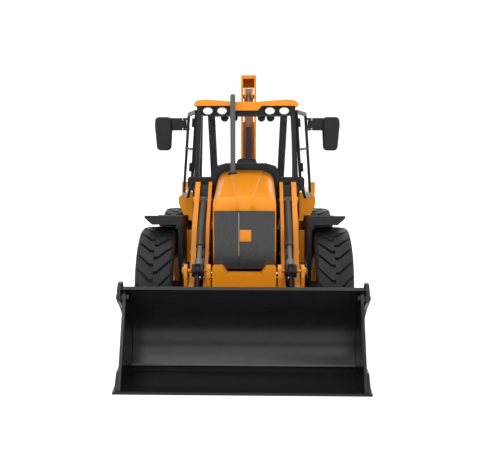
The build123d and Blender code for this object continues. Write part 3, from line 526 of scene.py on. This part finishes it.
# ---- hood: one moulded shell with a folded nose and a tapering centre rib ----
# y and z of the top, y of the side wall, shoulder radius, half width of the rib
HOOD_STATIONS = (
    (-30.6, 117.2, -28.8, 1.6, 4.0),
    (-25.2, 128.0, -24.8, 4.6, 6.4),
    (-8.0, 132.6, -8.0, 6.6, 8.6),
    (12.0, 137.2, 12.0, 7.6, 10.8),
    (31.0, 141.2, 31.0, 8.0, 13.0),
    (49.6, 144.6, 49.6, 8.4, 15.0),
)
HOOD_HALF_WIDTH = 25.35
HOOD_FOOT = 74.0
HOOD_THICKNESS = 1.3
HOOD_SAG = 1.5
# the top falls away toward its sides above this height
SAG_ABOVE = 112
RIB_RISE = 0.9
RIB_STEP = 0.9
# forward and upward shares of the rib's rise on the nose, on the fold, and on the top
RIB_DIRECTIONS = ((1.0, 0.2), (0.5, 0.7), (0.1, 1.0))


def hood_half_loop(y_top, z_top, y_side, shoulder, rib_half):
    """Points from the rib's middle outward and down the side wall, in millimetres."""
    flat_end = HOOD_HALF_WIDTH - shoulder
    rib_foot = rib_half + RIB_STEP
    points = []
    for share in (0.0, 0.5, 1.0):
        points.append((share * rib_half, y_top, z_top, RIB_RISE))
    for share in (0.0, 0.35, 0.7, 1.0):
        points.append((rib_foot + share * (flat_end - rib_foot), y_top, z_top, 0.0))
    for step in range(1, 8):
        angle = math.pi / 2 * step / 7
        points.append(
            (
                flat_end + shoulder * math.sin(angle),
                y_top + (y_side - y_top) * math.sin(angle),
                z_top - shoulder * (1 - math.cos(angle)),
                0.0,
            )
        )
    lowest = z_top - shoulder
    for share in (0.25, 0.5, 0.75, 1.0):
        points.append((HOOD_HALF_WIDTH, y_side, lowest + share * (HOOD_FOOT - lowest), 0.0))
    return points


def hood_shell():
    """The hood's outer skin, thickened inward."""
    shape = bmesh.new()
    rows = []
    for station, values in enumerate(HOOD_STATIONS):
        half = hood_half_loop(*values)
        forward, upward = RIB_DIRECTIONS[min(station, 2)]
        loop = [(-x, y, z, rise) for x, y, z, rise in reversed(half[1:])] + half
        row = []
        for x, y, z, rise in loop:
            sags = station > 0 and z > SAG_ABOVE
            sag = HOOD_SAG * (x / HOOD_HALF_WIDTH) ** 2 if sags else 0.0
            spot = place(x, y - rise * forward, z + rise * upward - sag)
            row.append(shape.verts.new(spot))
        rows.append(row)
    for row, following in zip(rows, rows[1:]):
        for column in range(len(row) - 1):
            right = column + 1
            shape.faces.new((row[column], row[right], following[right], following[column]))
    bmesh.ops.recalc_face_normals(shape, faces=shape.faces)
    mesh = mesh_of(shape, "hood_shell")
    shell = finish_piece("hood_shell", mesh, "base", yellow, 28)
    thick = shell.modifiers.new("thickness", "SOLIDIFY")
    thick.thickness = HOOD_THICKNESS * MM
    thick.offset = -1.0
    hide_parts("hood")


hood_shell()

# ---- hood side louvres, firewall under the cowl, and exhaust collar ----
LOUVRE_COUNT = 6
FIRST_LOUVRE_Y = -12.4
LOUVRE_PITCH = 8.0
LOUVRE_HEIGHT = 107.0
FIREWALL_OUTLINE = (
    (-26.6, 112),
    (26.6, 112),
    (26.6, 140.2),
    (23.2, 145),
    (16, 147.4),
    (-16, 147.4),
    (-23.2, 145),
    (-26.6, 140.2),
)
EXHAUST_COLLAR = ((2.4, 0.0), (4.2, 0.0), (4.4, 0.6), (4.0, 1.8), (3.0, 2.2), (2.4, 2.2))
ACROSS = (1, 0, 0)
UP = (0, 0, 1)
louvre = rounded_rectangle(3.2, 16.0, 1.0)
for hand_name, hand in hands.items():
    louvre_x = hand * (HOOD_HALF_WIDTH - 0.4)
    for number in range(LOUVRE_COUNT):
        spot = place(louvre_x, FIRST_LOUVRE_Y + LOUVRE_PITCH * number, LOUVRE_HEIGHT)
        name = f"hood_louvre_{hand_name}_{number}"
        panel(name, louvre, spot, (0, hand, 0), UP, 0.7, "base", black, 0.2)
panel("cowl_firewall", FIREWALL_OUTLINE, place(0, 53.2, 0), ACROSS, UP, 1.4, "base", black,
      0.2)
turned("exhaust_collar", EXHAUST_COLLAR, place(-11.35, 38.0, 141.8), UP, "base", black)

# ---- badge: blank raised face on its plate ----
# how deep the back of a thin face piece sits in the part that carries it
SKIN_INSET = 0.2 * MM
badge_low, badge_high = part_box("badge_plate")
badge_middle = (badge_low + badge_high) / 2
badge_origin = Vector((badge_middle.x, badge_low.y + SKIN_INSET, badge_middle.z))
badge_outline = rounded_rectangle(6.6, 6.6, 0.8)
panel("badge_face", badge_outline, badge_origin, ACROSS, UP, 0.5, "base", yellow,
      0.2)

# ---- grille: the upright fold, coloured light grey as a painted highlight where it catches the light ----
grille_low, grille_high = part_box("grille")
fold_middle = Vector((-4.5 * MM, grille_low.y + SKIN_INSET, grille_high.z - 19.0 * MM))
fold_outline = rounded_rectangle(0.9, 35.0, 0.3)
# the fold's light grey is a painted highlight, not the grille's own colour
panel("grille_fold", fold_outline, fold_middle, ACROSS, UP, 0.5, "base", fold_painted_highlight,
      0.1)

# ---- clam floor: raised rib along its rear edge, mid grey as a painted highlight line ----
FLOOR_RIB_REACH = 84.3
FLOOR_RIB_RISE = 1.6
rib_outline = (
    (-FLOOR_RIB_REACH, 0.0),
    (FLOOR_RIB_REACH, 0.0),
    (FLOOR_RIB_REACH, FLOOR_RIB_RISE),
    (-FLOOR_RIB_REACH, FLOOR_RIB_RISE),
)
# the rib's grey is a painted highlight line on the black bucket
rib_spot = place(0, -80.8, 5.6)
panel("clam_floor_rib", rib_outline, rib_spot, ACROSS, (0, -0.25, 1), 0.9, "bucket_clam_body",
      rib_painted_highlight, 0.35)

# ---- side boxes: pressed yellow front plates ----
box_low, box_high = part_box("side_boxes")
box_middle_z = (box_low.z + box_high.z) / 2
plate_outline = rounded_rectangle(18.0, (box_high.z - box_low.z) / MM - 1.6, 2.0)
for hand_name, hand in hands.items():
    plate_middle = Vector((hand * 50.0 * MM, box_low.y + SKIN_INSET, box_middle_z))
    name = f"side_box_plate_{hand_name}"
    panel(name, plate_outline, plate_middle, ACROSS, UP, 0.9, "base", yellow,
          0.4)

# ---- pin heads on the loader and backhoe, and the crowd rods' collars ----
# domed head, as shares of its radius and millimetres along X
PIN_HEAD_DOME = ((0, 1.5), (0.5, 1.4), (0.85, 1.0), (1, 0.4), (1, -0.4), (0, -0.4))
KNUCKLE_COLLAR = (
    (4.0, 0.0), (4.9, 0.0), (5.4, 0.5), (5.4, 2.4), (4.9, 2.9), (4.0, 2.9), (4.0, 0.0),
)


def pin_head(name, joint_name, reach, radius, body, finish):
    """Domed head of a cross pin, that far out from the middle on this hand's side."""
    centre = pivot(joint_name)
    profile = [(radius * share, along) for share, along in PIN_HEAD_DOME]
    spot = Vector((hand * reach * MM, centre.y, centre.z))
    turned(f"{name}_{hand_name}", profile, spot, (hand, 0, 0), body, finish, 32)


for hand_name, hand in hands.items():
    lever_body = f"loader_lever_{hand_name}_body"
    lever_turn = f"loader_lever_{hand_name}_turn"
    pin_head("lever_pin", lever_turn, 48.8, 3.0, lever_body, grey)
    pin_head("lever_top_pin", "loader_links_turn", 48.8, 3.0, lever_body, grey)
    # one collar on each fork plate of the rod, with the link free to swing between them
    top_pin = pivot("loader_links_turn")
    for side_name, collar_x in (("inner", 32.0), ("outer", 38.7)):
        collar_foot = Vector((hand * collar_x * MM, top_pin.y, top_pin.z))
        name = f"crowd_knuckle_{side_name}_{hand_name}"
        turned(name, KNUCKLE_COLLAR, collar_foot, (hand, 0, 0), "crowd_rods_body", black)
    pin_head("arm_pin", "loader_lift", 45.0, 3.6, "base", black)
    pin_head("bucket_pin", "bucket_tilt", 46.0, 3.0, "loader_arms_body", grey)
    pin_head("boom_pin", "boom_lower", 12.8, 3.6, "kingpost_body", grey)

# ---- door handles ----
# the leaning door's two directions, toward its free edge and upward
DOOR_REACH = (12.9, 61.2)
DOOR_LEAN = (-6.2, 81.8)
HINGE_OFFSET = 2.5
HANDLE_FROM_HINGE = 54
HANDLE_ABOVE_HINGE = 13.6
HANDLE_STAND = 0.8
handle_outline = rounded_rectangle(9.0, 2.2, 1.0)
for hand_name, hand in hands.items():
    hinge = pivot(f"door_{hand_name}_open")
    splay = Vector((hand * DOOR_REACH[0], DOOR_REACH[1], 0)).normalized()
    rise = Vector((hand * DOOR_LEAN[0], 0, DOOR_LEAN[1])).normalized()
    outward = splay.cross(rise) * hand
    spot = hinge + splay * HANDLE_FROM_HINGE * MM + rise * HANDLE_ABOVE_HINGE * MM
    spot = spot - Vector((hand * HINGE_OFFSET * MM, 0, 0)) + outward * HANDLE_STAND * MM
    right = splay if hand > 0 else -splay
    panel(f"door_handle_{hand_name}", handle_outline, spot, right, rise, 1.4,
          f"door_{hand_name}_body", black, 0.4)

# ---- mirror glass ----
PANE_REACH = 82.8
PANE_HEIGHT = 0.1775
pane_outline = rounded_rectangle(12.5, 26.0, 2.4)
for hand_name, hand in hands.items():
    mirror_back_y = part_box(f"mirror_{hand_name}")[1].y
    spot = Vector((hand * PANE_REACH * MM, mirror_back_y - SKIN_INSET, PANE_HEIGHT))
    panel(f"mirror_pane_{hand_name}", pane_outline, spot, (-1, 0, 0), UP, 0.5,
          f"mirror_{hand_name}_body", silver, 0.15)


# ---- studio ----
def make_floor():
    """Pale sweep under and behind the machine."""
    shape = bmesh.new()
    wide, near, far, rise = 6.0, -4.0, 2.2, 3.5
    below_wheels = 0.0002
    curve = [(near, 0.0), (far - 1.0, 0.0)]
    for step in range(1, 13):
        angle = math.pi / 2 * step / 12
        curve.append((far - 1.0 + math.sin(angle), 1.0 - math.cos(angle)))
    curve.append((far, rise))
    rows = [[shape.verts.new((x, y, z - below_wheels)) for x in (-wide, wide)] for y, z in curve]
    for lower, upper in zip(rows, rows[1:]):
        shape.faces.new((lower[0], lower[1], upper[1], upper[0]))
    mesh = mesh_of(shape, "studio_floor")
    floor = bpy.data.objects.new("studio_floor", mesh)
    bpy.context.scene.collection.objects.link(floor)
    for polygon in mesh.polygons:
        polygon.use_smooth = True
    paper = Nodes("studio_paper")
    tone = paper.mix(paper.noise(3.0), (0.90, 0.90, 0.90), (0.93, 0.93, 0.93))
    paper.join(tone, paper.shader.inputs["Base Color"])
    paper.shader.inputs["Roughness"].default_value = 0.85
    paper.shader.inputs["Emission Color"].default_value = (1, 1, 1, 1)
    paper.shader.inputs["Emission Strength"].default_value = 0.22
    mesh.materials.append(paper.material)


def area_light(name, spot, aim, size, power):
    """Rectangular soft light pointed at a spot, metres and watts."""
    light = bpy.data.lights.new(name, "AREA")
    light.shape = "RECTANGLE"
    light.size, light.size_y = size
    light.energy = power
    holder = bpy.data.objects.new(name, light)
    holder.location = spot
    holder.rotation_euler = (Vector(aim) - Vector(spot)).to_track_quat("-Z", "Y").to_euler()
    bpy.context.scene.collection.objects.link(holder)


make_floor()
middle = (0, 0, 0.1)
area_light("key", (-0.5, -1.3, 1.3), middle, (1.4, 0.9), 10)
area_light("fill", (1.1, -0.9, 0.9), middle, (1.2, 0.9), 5)
area_light("top", (0, 0.1, 1.7), middle, (1.8, 1.8), 12)
area_light("front", (0.0, -2.0, 0.7), middle, (1.6, 0.7), 5)
area_light("back", (0.3, 1.3, 0.9), middle, (1.6, 0.8), 8)

world = bpy.data.worlds.new("studio")
world.use_nodes = True
background = world.node_tree.nodes["Background"]
background.inputs["Color"].default_value = (1, 1, 1, 1)
background.inputs["Strength"].default_value = 0.75
bpy.context.scene.world = world
bpy.context.scene.view_settings.view_transform = "Standard"

# ---- camera: low, straight on, a little to the machine's left ----
camera_spot = place(9.4, -600.5, 178.0)
pitch = math.radians(8.19)
yaw = math.radians(1.3)
level = math.cos(pitch)
forward = Vector((-math.sin(yaw) * level, math.cos(yaw) * level, -math.sin(pitch)))
camera_data = bpy.data.cameras.new("camera")
camera_data.lens = 53.9
camera_data.sensor_width = 36.0
camera = bpy.data.objects.new("camera", camera_data)
camera.location = camera_spot
camera.rotation_euler = forward.to_track_quat("-Z", "Y").to_euler()
bpy.context.scene.collection.objects.link(camera)
bpy.context.scene.camera = camera
